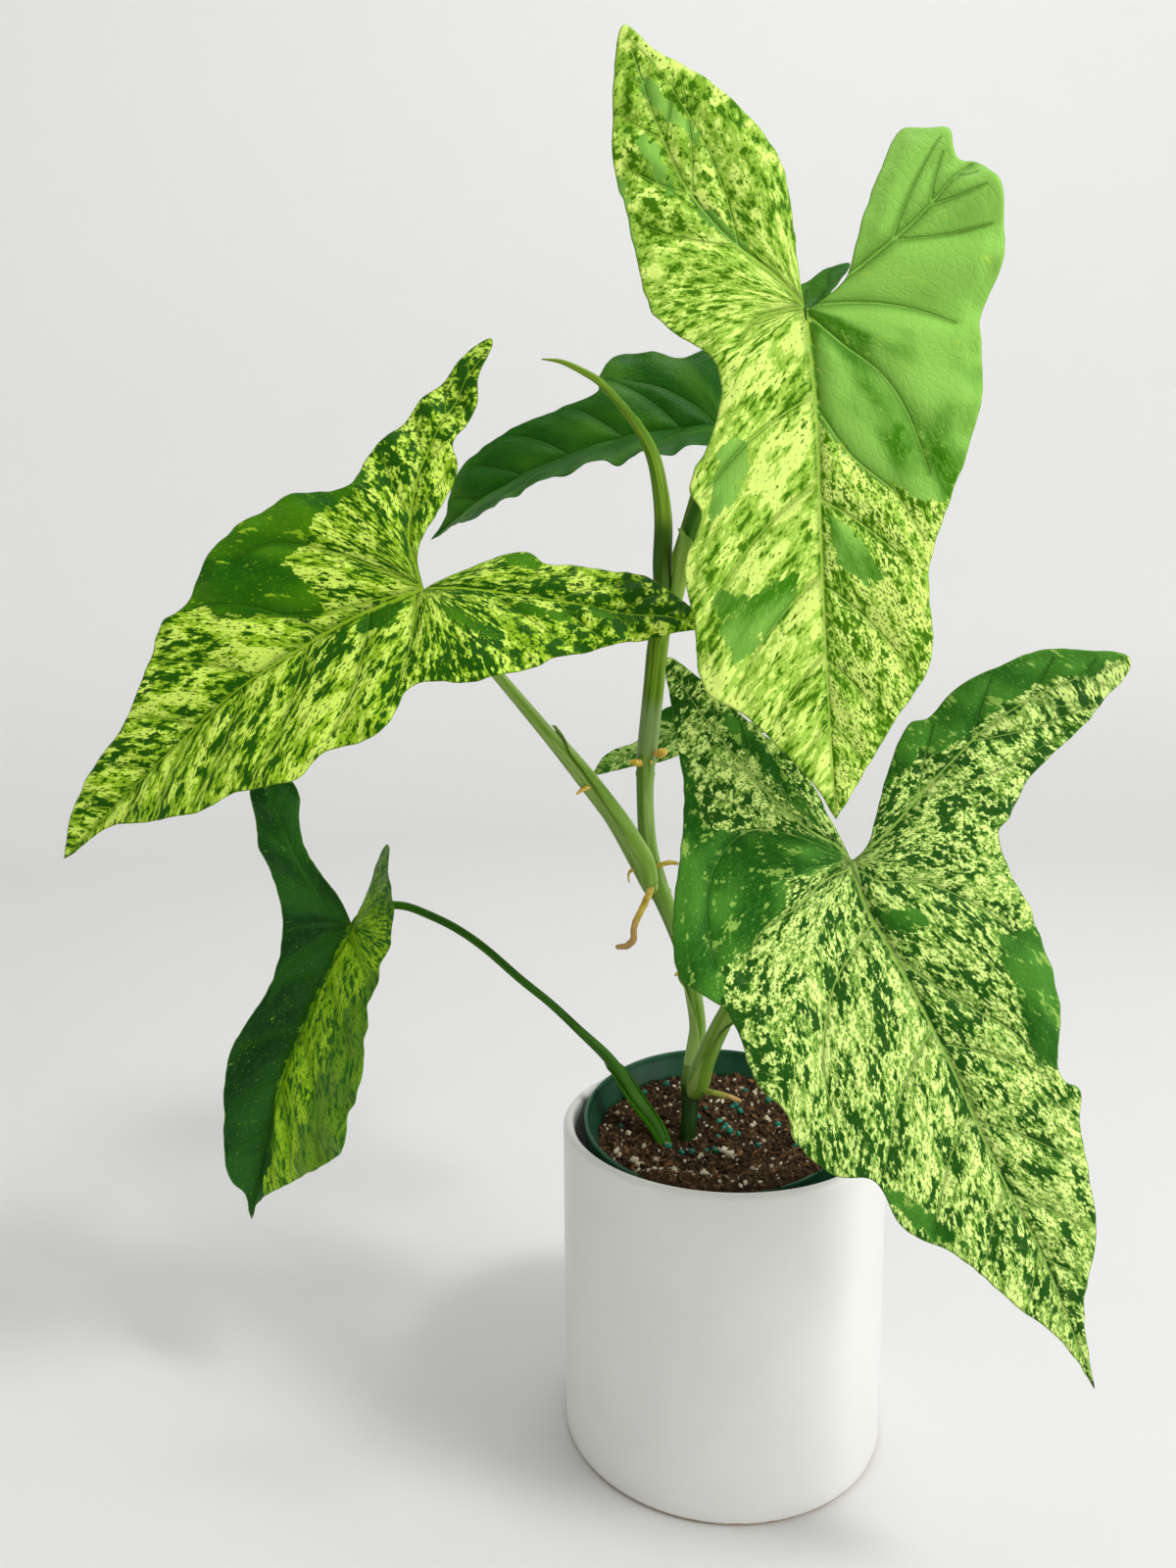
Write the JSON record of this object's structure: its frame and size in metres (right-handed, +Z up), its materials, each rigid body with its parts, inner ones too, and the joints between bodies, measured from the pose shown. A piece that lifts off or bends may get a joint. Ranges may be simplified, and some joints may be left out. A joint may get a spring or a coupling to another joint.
{
  "type": "arrowhead plant",
  "caption": "Potted arrowhead plant with mottled green and lime arrow-shaped leaves on arching stems, in a nursery pot standing inside a round white cover pot.",
  "frame": {"origin": "centre of the cover pot's underside, on the surface it stands on", "axes": "+Z up; -Y is the side the picture is taken from, and +X is to its right"},
  "size_m": [0.3271, 0.1867, 0.4764],
  "materials": {
    "white_glaze": "satin white",
    "green_plastic": "satin",
    "soil": "rough, bark and peat",
    "stem_green": "satin",
    "young_leaf": "satin",
    "root_tan": "matte",
    "leaf_mottled": "satin, mottled",
    "leaf_dark": "satin"
  },
  "bodies": {
    "root": {"cover_pot": "white_glaze", "nursery_pot": "green_plastic", "potting_soil": "soil", "main_stem": "stem_green", "petiole_top": "stem_green", "petiole_left": "stem_green", "petiole_right": "stem_green", "petiole_low": "stem_green", "petiole_back": "stem_green", "petiole_small": "stem_green", "new_leaf": "young_leaf", "aerial_root": "root_tan", "surface_root": "root_tan", "leaf_top": "leaf_mottled", "leaf_left": "leaf_mottled", "leaf_right": "leaf_mottled", "leaf_low": "leaf_mottled", "leaf_small": "leaf_mottled", "leaf_back": "leaf_dark"}
  },
  "joints": []
}
